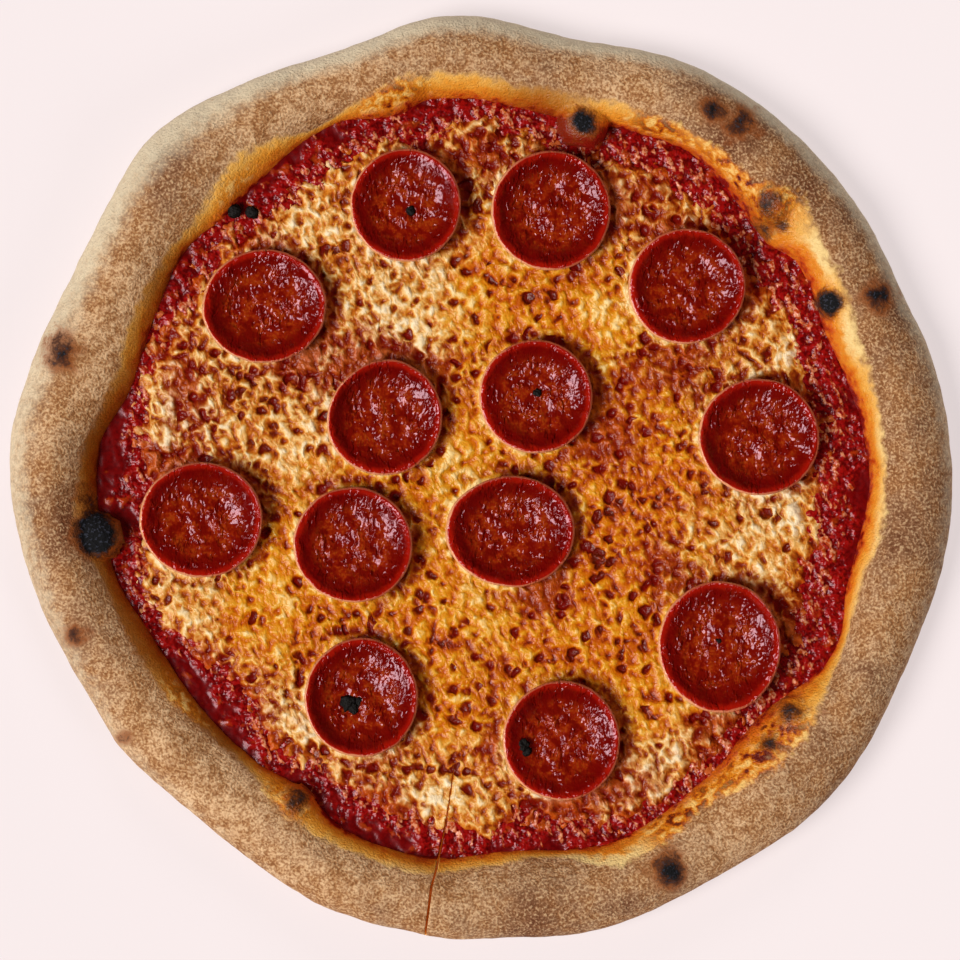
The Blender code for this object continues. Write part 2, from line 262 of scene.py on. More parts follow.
# How browned the cheese is: (x, y, radius, tone), below 0 for toasted and above 0 for pale
CHEESE_TONES = (
    (-0.026, 0.054, 0.017, 1.2),
    (-0.004, 0.056, 0.011, 0.6),
    (-0.055, 0.086, 0.012, 0.9),
    (-0.101, 0.022, 0.012, 1.0),
    (-0.060, 0.010, 0.012, 0.8),
    (-0.006, 0.000, 0.013, 1.1),
    (-0.004, -0.042, 0.014, 0.7),
    (0.094, -0.010, 0.012, 1.2),
    (0.096, 0.040, 0.010, 0.8),
    (0.080, -0.024, 0.014, 0.6),
    (0.042, 0.052, 0.012, 0.9),
    (-0.102, -0.042, 0.010, 0.8),
    (-0.016, -0.100, 0.013, 0.9),
    (-0.060, -0.074, 0.008, 0.8),
    (0.056, -0.088, 0.014, 1.0),
    (-0.072, -0.036, 0.016, 0.8),
    (0.050, -0.008, 0.014, -0.5),
    (0.036, -0.028, 0.010, -0.5),
    (0.024, 0.064, 0.012, -0.4),
    (-0.010, -0.052, 0.004, -1.5),
    (0.000, 0.080, 0.010, -0.4),
    (0.072, -0.004, 0.012, -0.4),
    (-0.030, -0.020, 0.010, -0.3),
)

# Where sauce and fat have stained the cheese red: (x, y, radius, strength)
STAINED = (
    (-0.036, 0.038, 0.014, 0.9),
    (-0.058, 0.036, 0.010, 0.9),
    (-0.012, 0.036, 0.008, 0.8),
    (-0.094, 0.032, 0.009, 0.9),
    (-0.102, 0.050, 0.010, 0.8),
    (-0.106, 0.002, 0.012, 1.2),
    (0.041, 0.012, 0.012, 1.2),
    (0.064, 0.034, 0.011, 1.0),
    (0.047, 0.034, 0.009, 0.7),
    (0.020, -0.039, 0.010, 0.9),
    (0.058, -0.028, 0.011, 1.0),
    (0.104, -0.048, 0.015, 1.0),
    (0.074, -0.084, 0.012, 0.8),
    (0.054, 0.090, 0.014, 0.8),
    (0.000, 0.106, 0.011, 0.9),
    (-0.074, 0.085, 0.011, 1.0),
    (-0.080, -0.078, 0.016, 1.2),
    (-0.094, -0.058, 0.010, 0.8),
    (-0.034, -0.108, 0.015, 1.1),
    (0.004, -0.084, 0.009, 0.7),
    (0.024, -0.110, 0.014, 1.0),
    (0.096, 0.068, 0.013, 1.1),
    (0.112, 0.012, 0.010, 0.8),
    (0.050, -0.100, 0.014, 0.7),
    (-0.002, -0.058, 0.010, 0.5),
    (-0.090, 0.018, 0.009, 0.7),
)

# Where the cheese is golden with butterfat and not white: (x, y, radius, strength)
GOLDEN = (
    (0.020, 0.060, 0.034, 1.0),
    (-0.005, -0.010, 0.040, 1.0),
    (-0.060, -0.034, 0.032, 1.0),
    (0.000, -0.060, 0.034, 0.9),
    (0.056, 0.014, 0.034, 0.8),
    (0.056, -0.056, 0.034, 0.9),
)

# Each slice's odd side and how far it stands out
ODD_SIDES = (
    (60, 0.02), (200, 0.02), (300, -0.03), (210, 0.02), (140, -0.08), (20, -0.02), (330, 0.02),
    (180, 0.03), (250, -0.02), (180, 0.06), (285, 0.04), (80, 0.03), (260, -0.03),
)

# How a slice curls: flat up to a share of its radius and then steeper and steeper, unevenly round it
FLAT_SHARE = 0.40
CURL_POWER = 1.8
CURL_UNEVENNESS = 0.22
CURL_TURN = 2.4
CURL_TURN_TWICE = 1.7

# The side on which a slice's rim is painted lighter, towards the key light, and the directions in which its
# folds and wrinkles run
PAINTED_LIGHT_SIDE = 205
FOLD_SIDE = 60
WRINKLE_SIDE = 100

# Scorched bits: (x, y, height, size)
SLICE_FACE = SLICE_BOTTOM + SLICE_THICKNESS
BURNT_BITS = (
    (-0.0221, 0.0851, SLICE_FACE, 0.0015),
    (0.0182, 0.0272, SLICE_FACE, 0.0012),
    (0.0762, -0.0518, SLICE_FACE, 0.0010),
    (-0.0422, -0.0715, SLICE_FACE, 0.0024),
    (-0.0402, -0.0732, SLICE_FACE, 0.0018),
    (-0.0386, -0.0710, SLICE_FACE, 0.0013),
    (0.0138, -0.0850, SLICE_FACE + 0.0014, 0.0019),
    (0.0150, -0.0870, SLICE_FACE + 0.0012, 0.0015),
    (-0.0784, 0.0851, SAUCE_TOP + 0.0020, 0.0022),
    (-0.0726, 0.0848, SAUCE_TOP + 0.0014, 0.0020),
)

# Mesh steps
CRUST_STEPS = 160
CRUST_CUTS = 5
SAUCE_STEPS = 150
SAUCE_CUTS = 5
SLICE_STEPS = 112
CHEESE_GRID = 0.00072
MERGE = 0.00001

# How far the sauce runs under the foot of the rim
SAUCE_UNDER_RIM = 0.0012

# Bits of cheese lie on the sauce out to about this far beyond the cheese, and further out on one side;
# towards the other side, where the rim shadows it, the sauce is kept darker and smoother as painted shade
SHRED_REACH = 0.010
SHRED_SIDE = 20
SHRED_AND_SHADE_LEAN = 0.35

# The cheese sheet
CHEESE_HALF = 0.84 * PIZZA_RADIUS
CHEESE_BASE = SAUCE_TOP - 0.0006
CHEESE_FLOOR = SAUCE_TOP - 0.0009
CHEESE_RISE = 0.0030
CHEESE_EDGE_WIDTH = 0.012
CHEESE_PIT_DEPTH = 0.0015
CHEESE_REACH = 0.003
CHEESE_PRESSED = SLICE_BOTTOM - LAYER_GAP
RAGGED_DEPTH = 0.0032
RAGGED_SPACING = 0.006
STRAND_SIDE = 68
LIP_HEIGHT = 0.0005

# Under a slice the cheese is pressed flat within the first of these shares of its reach, and free
# beyond the second
PRESSED = (0.62, 0.86)

# Beside each slice: (side, how much it leans to that side, limit as a share of the slice's reach)
# Grease reddens the cheese round each slice, most on the side away from the light, where it is partly painted
# shade.
GREASE_AND_SHADE = (20, 0.3, 1.42)
# The lip is a real raised edge of cheese on the side towards the light; its paler colour there is a painted
# highlight.
LIP_AND_HIGHLIGHT = (205, 0.6, 1.15)

# The scorched bits: how uneven they are, and how high for their width
CRUMPLE = 0.55
CRUMB_FLATNESS = 0.35

# The stage: the floor's half width, the place under the camera, and each light's azimuth,
# elevation and spread
FLOOR_HALF = 6.0
EYE_PLACE = (0, -0.00064)
KEY_LIGHT = (202, 49, 32)
FILL_LIGHTS = ((85, 28, 20), (325, 28, 20))

ROOT = "root"


def shade(red, green, blue):
    """A screen colour, given in steps of 0 to 255, as the linear colour that a shader takes."""
    linear = []
    for step in (red, green, blue):
        value = step / 255
        linear.append(value / 12.92 if value < 0.04045 else ((value + 0.055) / 1.055) ** 2.4)
    return (*linear, 1.0)


# Settings


def colour_setting(name, description, red, green, blue):
    """A colour that a user can pick, with its default."""
    default = shade(red, green, blue)
    return FloatVectorProperty(
        name=name, description=description, subtype="COLOR", size=4, min=0, max=1, default=default
    )


def length_setting(name, description, default, least):
    """A length in metres that a user can change."""
    return FloatProperty(
        name=name, description=description, default=default, min=least, unit="LENGTH", precision=4
    )


def share_setting(name, description, default):
    """A number from 0 to 1 that a user can change."""
    return FloatProperty(name=name, description=description, default=default, min=0, max=1)


def strength_setting(name, description, default):
    """The strength of a light, which a user can change."""
    return FloatProperty(name=name, description=description, default=default, min=0)


class CrustSettings(bpy.types.PropertyGroup):
    """How the crust is baked."""

    flour: colour_setting("Flour", "Dusted, palest dough", 222, 178, 134)
    dough: colour_setting("Dough", "Baked dough", 178, 126, 80)
    # The toast colour also darkens the rim's bottom edge as painted shade.
    toast: colour_setting("Toast", "Deeply baked dough", 124, 76, 46)
    crumb: colour_setting("Crumb", "The soft inside that the slit lays open", 226, 178, 112)
    char: colour_setting("Char", "Burnt blisters", 9, 8, 11)
    grain: length_setting("Grain", "Width of the floury grains", 0.0008, 0.0002)


class SauceSettings(bpy.types.PropertyGroup):
    """How the sauce looks."""

    deep: colour_setting("Deep", "Thick sauce", 92, 0, 1)
    bright: colour_setting("Bright", "Thin sauce", 156, 14, 10)
    roughness: share_setting("Roughness", "How dull the sauce is", 0.26)


class CheeseSettings(bpy.types.PropertyGroup):
    """How the cheese is browned."""

    pale: colour_setting("Pale", "Melted cheese that isn't browned", 249, 222, 180)
    golden: colour_setting("Golden", "Cheese that is rich in butterfat", 248, 208, 134)
    pit: colour_setting("Pit", "The bottom of a browned bubble", 90, 22, 2)
    bubble: length_setting("Bubble", "Spacing of the bubbles", 0.0038, 0.001)


class PepperoniSettings(bpy.types.PropertyGroup):
    """How the slices are cooked."""

    meat: colour_setting("Meat", "The lean meat", 136, 28, 3)
    wall: colour_setting("Wall", "The curled-up wall, soaked with oil", 104, 2, 0)
    rim: colour_setting("Rim", "The outer rim, which catches the heat", 174, 22, 5)
    fat: colour_setting("Fat", "Specks of rendered fat", 164, 64, 12)
    wrinkle: length_setting("Wrinkle", "Width of the wrinkles", 0.0014, 0.0005)


class StageSettings(bpy.types.PropertyGroup):
    """The floor, the camera and the light."""

    backdrop: colour_setting("Backdrop", "The plain floor", 248, 236, 236)
    distance: length_setting("Distance", "From the camera to the pizza", 2.4, 0.5)
    frame_width: length_setting("Frame width", "What the picture takes in", 0.3072, 0.1)
    glow: share_setting("Glow", "How much the floor lights itself", 0.68)
    key: strength_setting("Key light", "Strength of the light from the left", 3.35)
    fill: strength_setting("Fill light", "Strength of each of the two weaker lights", 0.7)
    room: strength_setting("Room light", "Strength of the light from all round", 0.04)


# Shader maths


class Wire:
    """An output socket that can stand in a sum: each operator adds its Math node."""

    def __init__(self, graph, socket):
        self.graph = graph
        self.socket = socket

    def __add__(self, other):
        return self.graph.maths("ADD", self, other)

    def __sub__(self, other):
        return self.graph.maths("SUBTRACT", self, other)

    def __rsub__(self, other):
        return self.graph.maths("SUBTRACT", other, self)

    def __mul__(self, other):
        return self.graph.maths("MULTIPLY", self, other)

    __radd__ = __add__
    __rmul__ = __mul__


class Graph:
    """Builds the nodes of a material, or of a relief that follows the same pattern."""

    def __init__(self, tree):
        self.tree = tree

    def node(self, kind, settings=None, values=None, output=0):
        """A node of one kind, with its settings made first and then the values or links of its sockets."""
        node = self.tree.nodes.new(kind)
        for name, value in (settings or {}).items():
            if name == "stops":
                self.set_stops(node.color_ramp, value)
            else:
                setattr(node, name, value)
        for name, value in (values or {}).items():
            if isinstance(value, Wire):
                self.tree.links.new(value.socket, node.inputs[name])
            else:
                node.inputs[name].default_value = value
        return Wire(self, node.outputs[output])

    @staticmethod
    def set_stops(ramp, stops):
        """The colours of a ramp, each with its place along it."""
        while len(ramp.elements) < len(stops):
            ramp.elements.new(0.5)
        for element, (position, colour) in zip(ramp.elements, stops):
            element.position = position
            element.color = colour

    def maths(self, operation, first, second):
        """Two numbers joined by an operation."""
        return self.node("ShaderNodeMath", {"operation": operation}, {0: first, 1: second})

    def vectors(self, operation, first, second):
        """Two vectors joined by an operation."""
        return self.node("ShaderNodeVectorMath", {"operation": operation}, {0: first, 1: second})

    def scaled(self, vector, factor):
        """A vector made longer or shorter."""
        return self.node("ShaderNodeVectorMath", {"operation": "SCALE"}, {0: vector, "Scale": factor})

    def is_shader(self):
        """Whether the nodes belong to a material and not to a relief."""
        return self.tree.bl_idname == "ShaderNodeTree"

    def place(self):
        """Where a point is, in metres."""
        if self.is_shader():
            return self.node("ShaderNodeTexCoord", output="Object")
        return self.node("GeometryNodeInputPosition")

    def flat_place(self):
        """Where a point is, seen from above, so that a relief doesn't shift the pattern."""
        return self.vectors("MULTIPLY", self.place(), (1, 1, 0))

    def attribute(self, name):
        """A number that the mesh carries at each point."""
        if self.is_shader():
            return self.node("ShaderNodeAttribute", {"attribute_name": name}, output="Fac")
        return self.node("GeometryNodeInputNamedAttribute", {"data_type": "FLOAT"}, {"Name": name})

    def ease(self, value, low, high):
        """0 below low and 1 above high, with a soft change between, or the other way round."""
        values = {"Value": value, "From Min": low, "From Max": high}
        return self.node("ShaderNodeMapRange", {"interpolation_type": "SMOOTHSTEP"}, values)

    def clamp(self, value):
        """The value held between 0 and 1."""
        return self.node("ShaderNodeClamp", values={"Value": value})

    def blend(self, share, first, second, mode="MIX"):
        """One colour changing to another."""
        settings = {"data_type": "RGBA", "blend_type": mode}
        return self.node("ShaderNodeMix", settings, {0: share, 6: first, 7: second}, output=2)

    def ramp(self, value, *stops):
        """A colour for each value from 0 to 1."""
        return self.node("ShaderNodeValToRGB", {"stops": stops}, {0: value})

    def grain(self, place, size, detail=2.0, distortion=0.0):
        """Soft noise between 0 and 1 with lumps of a size."""
        values = {"Vector": place, "Scale": 1 / size, "Detail": detail, "Distortion": distortion}
        return self.node("ShaderNodeTexNoise", values=values)

    def bent(self, place, size, reach):
        """A place pushed about by noise, so that cells lose their straight edges."""
        values = {"Vector": place, "Scale": 1 / size, "Detail": 1.0}
        push = self.node("ShaderNodeTexNoise", values=values, output="Color")
        centred = self.vectors("SUBTRACT", push, (0.5, 0.5, 0.5))
        return self.vectors("ADD", place, self.scaled(centred, 2 * reach))

    def cells(self, place, size):
        """The distance to the nearest of scattered points, in cell widths, and that point's random number."""
        values = {"Vector": place, "Scale": 1 / size}
        near = self.node("ShaderNodeTexVoronoi", values=values)
        colour = Wire(self, near.socket.node.outputs["Color"])
        chance = self.node("ShaderNodeSeparateXYZ", values={0: colour})
        return near, chance

    def drawn_out(self, place, angle, share):
        """A place squeezed along a direction, so that a pattern on it is drawn out that way."""
        values = {"Vector": place, "Angle": radians(angle)}
        turned_place = self.node("ShaderNodeVectorRotate", {"rotation_type": "Z_AXIS"}, values)
        return self.vectors("MULTIPLY", turned_place, (share, 1, 1))

    def pits(self, place, size, least, most):
        """Round pits of random widths, one in most cells: 1 inside and 0 outside."""
        near, chance = self.cells(place, size)
        width = chance * (most - least) + least
        return self.ease(near - width, 0.0, -0.14)

    def bump(self, height, distance):
        """The slopes of a height that goes from 0 to 1, as a normal."""
        return self.node("ShaderNodeBump", values={"Height": height, "Distance": distance, "Strength": 1.0})


def new_material(name):
    """A material with its graph and its shader."""
    material = bpy.data.materials.new(name)
    material.use_nodes = True
    shader = material.node_tree.nodes["Principled BSDF"]
    return material, Graph(material.node_tree), shader


def feed(graph, shader, **sockets):
    """Link what varies over the surface to the shader's own sockets, and set what doesn't."""
    for name, value in sockets.items():
        socket = shader.inputs[name.replace("_", " ")]
        if isinstance(value, Wire):
            graph.tree.links.new(value.socket, socket)
        else:
            socket.default_value = value


# Outlines and shared shapes


@lru_cache(maxsize=None)
def edge_distance(outline, angle):
    """How far a closed outline lies from the middle at an angle, by smooth curves between its points."""
    angle = angle % 360
    count = len(outline)
    after = next((index for index, point in enumerate(outline) if point[0] > angle), count)
    knots = []
    for offset in (-2, -1, 0, 1):
        turns, index = divmod(after + offset, count)
        knots.append((outline[index][0] + 360 * turns, outline[index][1]))
    (a0, r0), (a1, r1), (a2, r2), (a3, r3) = knots
    span = a2 - a1
    leave = (r2 - r0) / (a2 - a0) * span
    arrive = (r3 - r1) / (a3 - a1) * span
    t = (angle - a1) / span
    share = ((2 * t - 3) * t * t + 1) * r1 + ((t - 2) * t + 1) * t * leave
    share += (3 - 2 * t) * t * t * r2 + (t - 1) * t * t * arrive
    return share * PIZZA_RADIUS


def upright_angle(point):
    """The angle of a point round the pizza's upright axis, rounded so that outlines are worked out once."""
    return round(degrees(atan2(point.y, point.x)), 3)


def spot(angle, distance):
    """The place at an angle and a distance from the middle."""
    return distance * cos(radians(angle)), distance * sin(radians(angle))


def lump(x, y, size, layer=0.0):
    """A soft hump or dip, up to about the size given, that is another one for each layer."""
    return size * noise.noise(Vector((x, y, layer)) / LUMP_SPACING)


def eased(value, low, high):
    """0 at low and 1 at high, with a soft change between."""
    share = min(max((value - low) / (high - low), 0), 1)
    return share * share * (3 - 2 * share)


def strength_at(patches, x, y):
    """The sum of soft round patches at a place."""
    total = 0.0
    for patch_x, patch_y, radius, strength in patches:
        distance = ((x - patch_x) ** 2 + (y - patch_y) ** 2) / radius**2
        if distance < PATCH_END:
            total += strength * exp(-distance)
    return total


def arc(start, end, level_first, count, fullness=1.0):
    """Points after start on a quarter turn to end; less fullness draws it towards a straight line."""
    points = []
    for step in range(1, count + 1):
        straight = step / count
        turn = straight * pi / 2
        across, up = (sin(turn), 1 - cos(turn)) if level_first else (1 - cos(turn), sin(turn))
        across = straight + (across - straight) * fullness
        up = straight + (up - straight) * fullness
        points.append((start[0] + (end[0] - start[0]) * across, start[1] + (end[1] - start[1]) * up))
    return points


def turned(profile, steps, cuts=0):
    """A closed body spun from (distance, height) points that run from axis to axis; cuts divide each step."""
    body = bmesh.new()
    points = [body.verts.new((distance, 0, height)) for distance, height in profile]
    edges = [body.edges.new(pair) for pair in zip(points, points[1:])]
    bmesh.ops.spin(
        body, geom=points + edges, cent=(0, 0, 0), axis=(0, 0, 1), angle=2 * pi, steps=steps, use_merge=True
    )
    bmesh.ops.remove_doubles(body, verts=body.verts, dist=MERGE)
    if cuts:
        bmesh.ops.subdivide_edges(body, edges=[edge for edge in body.edges if goes_round(edge)], cuts=cuts)
    bmesh.ops.recalc_face_normals(body, faces=body.faces)
    return body


def goes_round(edge):
    """Whether an edge of a turned body runs round its axis."""
    first, second = (vert.co for vert in edge.verts)
    level = abs(first.z - second.z) < MERGE
    return level and abs(hypot(first.x, first.y) - hypot(second.x, second.y)) < MERGE


def rows(start, end, count):
    """Evenly spaced numbers after start, up to end."""
    return [start + (end - start) * step / count for step in range(1, count + 1)]


def new_layers(body, *names):
    """A number at each point of the body under each name, to be read by its material and its relief."""
    return {name: body.verts.layers.float.new(name) for name in names}


def new_piece(body, name, material):
    """Make the body an object with its material and soft shading."""
    mesh = bpy.data.meshes.new(name)
    body.to_mesh(mesh)
    body.free()
    mesh.shade_smooth()
    mesh.materials.append(material)
    piece = bpy.data.objects.new(name, mesh)
    bpy.context.scene.collection.objects.link(piece)
    return piece


def apply(piece, modifier):
    """Make a modifier's result the piece's own mesh."""
    with bpy.context.temp_override(object=piece, active_object=piece, selected_objects=[piece]):
        bpy.ops.object.modifier_apply(modifier=modifier.name)


def raise_relief(piece, height_of):
    """Move each point of the piece by the offset that height_of builds in a node graph."""
    tree = bpy.data.node_groups.new(f"{piece.name}_relief", "GeometryNodeTree")
    tree.interface.new_socket(name="Geometry", in_out="INPUT", socket_type="NodeSocketGeometry")
    tree.interface.new_socket(name="Geometry", in_out="OUTPUT", socket_type="NodeSocketGeometry")
    graph = Graph(tree)
    source = graph.node("NodeGroupInput")
    moved = graph.node("GeometryNodeSetPosition", values={"Geometry": source, "Offset": height_of(graph)})
    result = tree.nodes.new("NodeGroupOutput")
    tree.links.new(moved.socket, result.inputs[0])
    modifier = piece.modifiers.new("relief", "NODES")
    modifier.node_group = tree
    apply(piece, modifier)
    bpy.data.node_groups.remove(tree)


def cut_slit(piece, inside):
    """Cut the slit into the piece, with a material for the faces that it lays open."""
    cutter = slit_cutter(inside)
    modifier = piece.modifiers.new("slit", "BOOLEAN")
    modifier.operation = "DIFFERENCE"
    modifier.material_mode = "TRANSFER"
    modifier.object = cutter
    apply(piece, modifier)
    bpy.data.objects.remove(cutter)


def slit_cutter(inside):
    """A thin upright wedge along the slit, from its floor to over the pizza."""
    body = bmesh.new()
    middles = [Vector((x, y, floor)) for x, y, _, floor in SLIT]
    sides = []
    for index, middle in enumerate(middles):
        before = middles[max(index - 1, 0)]
        after = middles[min(index + 1, len(middles) - 1)]
        aside = (after - before).cross(Vector((0, 0, 1))).normalized() * SLIT[index][2]
        sides.append((body.verts.new(middle - aside), body.verts.new(middle + aside)))
    floor = [body.faces.new((*near, *far[::-1])) for near, far in zip(sides, sides[1:])]
    wall = bmesh.ops.extrude_face_region(body, geom=floor)["geom"]
    top = [part for part in wall if isinstance(part, bmesh.types.BMVert)]
    bmesh.ops.translate(body, verts=top, vec=(0, 0, 3 * RIM_HEIGHT))
    bmesh.ops.recalc_face_normals(body, faces=body.faces)
    return new_piece(body, "slit_cutter", inside)


def keep_in_box(piece):
    """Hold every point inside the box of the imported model."""
    low, high = CAD_BOX
    for vert in piece.data.vertices:
        vert.co = [min(max(value, least), most) for value, least, most in zip(vert.co, low, high)]


def hand_over(piece, slot, *nodes):
    """The piece rides on the pizza and stands for its nodes."""
    keep_in_box(piece)
    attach(piece, ROOT)
    if nodes:
        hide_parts(*nodes)


def lay(name, body, material, relief, inside, node):
    """Make a layer of the pizza, with its relief and the slit through it, in place of its node."""
    piece = new_piece(body, name, material)
    raise_relief(piece, relief)
    cut_slit(piece, inside)
    hand_over(piece, node, node)


# Crust


def crust_profile():
    """Half the crust's cross-section: along the underside, over the rim and back along the floor."""
    ground = [(share, 0) for share in (0, 0.3, 0.6, 0.9, 1.1, 1.3, 1.5, 1.65, GROUND_END)]
    widest = (2, WIDEST_HEIGHT)
    crest = (CREST, RIM_HEIGHT)
    foot = (1, FLOOR_HEIGHT)
    curl = arc(ground[-1], widest, True, 9)
    outside = arc(widest, crest, False, 24)
    inside = arc(crest, foot, True, 26, fullness=0.75)
    floor = [(share, FLOOR_HEIGHT) for share in (0.99, 0.98, 0.97, 0.96, 0.95, 0.93, 0.8, 0.4, 0)]
    return ground + curl + outside + inside + floor


def rim_height(angle):
    """The crest's height: the rim is puffed highest where it bulges out most."""
    edge = edge_distance(OUTER_EDGE, angle) / PIZZA_RADIUS
    return RIM_HEIGHT * (1 + PUFF_GAIN * (edge - MEAN_EDGE))


def soft_max(first, second, blend):
    """The greater of two heights, with a rounded change between them."""
    share = min(max(0.5 + 0.5 * (second - first) / blend, 0), 1)
    return first + (second - first) * share + blend * share * (1 - share)


def over_blisters(x, y, z):
    """The height of the crust's skin, drawn over each blister's ball."""
    for angle, share, radius, half_depth, middle in BLISTERS:
        blister_x, blister_y = spot(angle, share * PIZZA_RADIUS)
        aside = hypot(x - blister_x, y - blister_y) / radius
        if aside < 1:
            ball = middle + half_depth * sqrt(1 - aside * aside)
            z = soft_max(z, ball, BLISTER_BLEND)
    return z


def shape_crust():
    """The turned crust drawn out to its outlines, with what its surface shows at each point."""
    body = turned(crust_profile(), CRUST_STEPS, CRUST_CUTS)
    layers = new_layers(body, "skin", "stain", "toast", "outer", *UPPER_PATCHES)
    for vert in body.verts:
        share = hypot(vert.co.x, vert.co.y)
        angle = upright_angle(vert.co)
        foot = edge_distance(RIM_FOOT, angle)
        outer = edge_distance(OUTER_EDGE, angle)
        distance = foot * min(share, 1) + (outer - foot) * max(share - 1, 0)
        rise = max(vert.co.z - FLOOR_HEIGHT, 0) / (RIM_HEIGHT - FLOOR_HEIGHT)
        x, y = spot(angle, distance)
        z = vert.co.z + rise * (rim_height(angle) - RIM_HEIGHT + lump(x, y, RIM_LUMP))
        upper = z >= FLOOR_HEIGHT - MERGE and share < 2 - MERGE
        if upper and share > BLISTER_START:
            z = over_blisters(x, y, z)
        vert.co = (x, y, z)
        vert[layers["skin"]] = eased(z, *SKIN_HEIGHTS)
        vert[layers["toast"]] = strength_at(TOASTED_AND_SHADED, x, y)
        vert[layers["stain"]] = -1
        if upper:
            edge = edge_distance(STAIN_EDGE, angle)
            vert[layers["stain"]] = max((edge - distance) / (edge - foot), -1)
            for name, patches in UPPER_PATCHES.items():
                vert[layers[name]] = strength_at(patches, x, y)
        paleness = MEAN_PALENESS + PALENESS_CHANGE * cos(radians(angle - FLOURY_SIDE))
        start = PALE_START - PALE_BROADER * max(cos(radians(angle - BROAD_SIDE)), 0)
        vert[layers["outer"]] = eased(share, start, 2.0) * paleness
    return body


def crust_relief(graph):
    """Low swellings and creases of the crust's skin, along its normals."""
    place = graph.place()
    swell = (graph.grain(place, 0.009, 1.0) - 0.5) * 0.0009
    crease = (graph.grain(place, 0.0032, 2.0, 0.5) - 0.5) * 0.00035
    height = (swell + crease) * graph.attribute("skin")
    return graph.scaled(graph.node("GeometryNodeInputNormal"), height)


def crust_material(settings):
    """Floury baked dough, toasted and charred in places, with an oily stain inside the rim."""
    material, graph, shader = new_material("crust")
    place = graph.place()
    fine = graph.grain(place, settings.grain, 1.0, 0.3)
    medium = graph.grain(place, 0.0030, 3.0)
    broad = graph.grain(place, 0.014, 2.0)
    dough = floury_dough(graph, settings, fine, medium, broad)

    stain = graph.attribute("stain") + (medium - 0.5) * 0.7 + (broad - 0.5) * 0.7
    oil = graph.ramp(
        stain,
        (0.0, shade(222, 172, 102)),
        (0.24, shade(236, 172, 76)),
        (0.52, shade(230, 146, 42)),
        (0.76, shade(222, 118, 26)),
        (0.92, shade(192, 66, 10)),
        (1.0, shade(128, 10, 4)),
    )
    # Darker brown oil on the browned patches: partly browned oil, partly painted shade on the left inner
    # slope.
    oil = graph.blend(graph.ease(graph.attribute("browned"), 0.1, 0.8) * 0.8, oil, shade(122, 46, 2))
    creamy = graph.attribute("creamy") + (medium - 0.5) * 1.1
    oil = graph.blend(graph.ease(creamy, 0.2, 0.8) * graph.ease(stain, 0.60, 0.25), oil, shade(242, 206, 136))
    cheesy = graph.attribute("cheesy") + (medium - 0.5) * 0.8
    melted = graph.ramp(
        graph.grain(place, 0.0030, 3.0),
        (0.36, shade(96, 16, 4)),
        (0.43, shade(178, 78, 8)),
        (0.52, shade(220, 132, 24)),
        (0.66, shade(244, 196, 112)),
    )
    oil = graph.blend(graph.ease(cheesy, 0.25, 0.7) * graph.ease(stain, 1.0, 0.6), oil, melted)
    colour = graph.blend(graph.ease(stain, -0.12, 0.22), dough, oil)

    uneven = graph.grain(place, 0.0055, 2.0) - 0.5
    char = graph.attribute("char") + uneven * 0.7 + (medium - 0.5) * 0.4 + (fine - 0.5) * 0.3
    colour = graph.blend(graph.ease(char, 0.12, 0.40) * 0.75, colour, shade(140, 70, 20))
    colour = graph.blend(graph.ease(char, 0.34, 0.54) * 0.85, colour, shade(62, 26, 12))
    burnt = graph.ease(char, 0.50, 0.72)
    # Grey-blue speckles on the char: partly ash, partly a painted sheen.
    ash_and_sheen = graph.blend(graph.ease(fine, 0.56, 0.68) * 0.7, settings.char, shade(56, 58, 70))
    colour = graph.blend(burnt, colour, ash_and_sheen)
    under = graph.ease(graph.attribute("skin"), 0.4, 0.0)
    baked = graph.ease(graph.grain(place, 0.010, 3.0), 0.46, 0.66)
    colour = graph.blend(under * baked * 0.8, colour, shade(92, 52, 24))

    oily = graph.ease(stain, 0.0, 0.4) * (1 - burnt)
    feed(
        graph,
        shader,
        Base_Color=colour,
        Roughness=0.9 - oily * 0.5,
        Specular_IOR_Level=0.3,
        Normal=graph.bump(fine * 0.55 + medium * 0.45, 0.0009),
    )
    return material


def floury_dough(graph, settings, fine, medium, broad):
    """The dry skin of the rim: speckled, paler at its outer edge, darker where it is toasted, and darker
    along its bottom edge, where that is painted shade.
    """
    dough = graph.blend(graph.ease(medium * 0.5 + broad * 0.5, 0.42, 0.58), settings.dough, settings.flour)
    toast = graph.attribute("toast") + (broad - 0.5) * 1.3 + (medium - 0.5) * 0.4
    dough = graph.blend(graph.ease(toast, 0.05, 0.9), dough, settings.toast)
    # The speckle is darker in the fine grain's hollows and paler on its tops: partly the flour's own colour,
    # partly painted shade and painted light on that relief.
    shaded = graph.blend(1.0, dough, shade(184, 158, 128), "MULTIPLY")
    dough = graph.blend(graph.ease(fine, 0.60, 0.32) * 0.8, dough, shaded)
    dough = graph.blend(graph.ease(fine, 0.50, 0.74) * 0.45, dough, shade(240, 204, 156))
    outer = graph.ease(graph.attribute("outer") + (medium - 0.5) * 0.6, 0.15, 1.05)
    return graph.blend(outer * 0.8, dough, shade(222, 208, 178))


def crumb_material(settings):
    """The soft, open inside of the dough, with a faint painted glow for light that scatters into it."""
    material, graph, shader = new_material("crumb")
    place = graph.place()
    holes = graph.pits(place, 0.0022, 0.1, 0.4)
    colour = graph.blend(holes * 0.5, settings.crumb, shade(170, 100, 40))
    feed(
        graph,
        shader,
        Base_Color=colour,
        Roughness=0.8,
        # The brown glow is painted light, standing in for light scattered into the dough inside the slit.
        Emission_Color=shade(150, 70, 12),
        Emission_Strength=0.30,
        Normal=graph.bump(1 - holes, 0.0008),
    )
    return material


# Sauce


